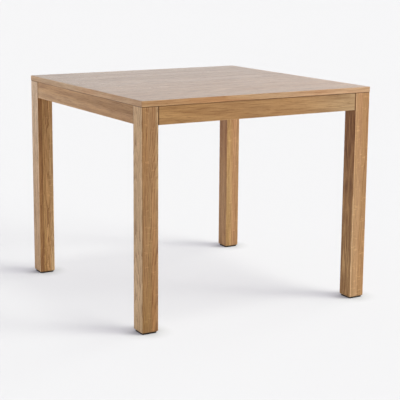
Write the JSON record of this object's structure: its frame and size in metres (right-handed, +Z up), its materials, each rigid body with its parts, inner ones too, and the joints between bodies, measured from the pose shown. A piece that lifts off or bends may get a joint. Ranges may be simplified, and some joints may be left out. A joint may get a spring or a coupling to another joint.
{
  "type": "dining table",
  "caption": "Square parsons dining table in oak: thin lipped top flush over square corner legs, with recessed aprons and bolted steel corner brackets.",
  "frame": {"origin": "on the floor, under the middle of the square top", "axes": "+Z up; the front is -Y, the left is -X"},
  "size_m": [0.9, 0.9, 0.76],
  "materials": {
    "oak_veneer": "clear satin lacquer",
    "oak_lipping": "clear satin lacquer",
    "oak_apron": "clear satin lacquer",
    "oak_leg": "clear satin lacquer",
    "core_board": "raw particle board",
    "spruce_cleat": "planed, raw",
    "beech_dowel": "raw",
    "zinc_steel": "bright zinc plate",
    "dark_felt": "pressed felt"
  },
  "bodies": {
    "root": {"tabletop_core": "core_board", "tabletop_top_veneer": "oak_veneer", "tabletop_underside_veneer": "oak_veneer", "tabletop_lipping_front": "oak_lipping", "tabletop_lipping_right": "oak_lipping", "tabletop_lipping_rear": "oak_lipping", "tabletop_lipping_left": "oak_lipping", "apron_front": "oak_apron", "apron_right": "oak_apron", "apron_rear": "oak_apron", "apron_left": "oak_apron", "cleat_front": "spruce_cleat", "cleat_right": "spruce_cleat", "cleat_rear": "spruce_cleat", "cleat_left": "spruce_cleat", "leg_front_left": "oak_leg", "leg_front_right": "oak_leg", "leg_rear_right": "oak_leg", "leg_rear_left": "oak_leg", "foot_pad_front_left": "dark_felt", "foot_pad_front_right": "dark_felt", "foot_pad_rear_right": "dark_felt", "foot_pad_rear_left": "dark_felt", "corner_bracket_front_left": "zinc_steel", "corner_bracket_front_right": "zinc_steel", "corner_bracket_rear_right": "zinc_steel", "corner_bracket_rear_left": "zinc_steel", "dowels": "beech_dowel", "hanger_bolts": "zinc_steel", "bracket_washers": "zinc_steel", "bracket_nuts": "zinc_steel", "bracket_screws": "zinc_steel", "cleat_screws": "zinc_steel"}
  },
  "joints": []
}
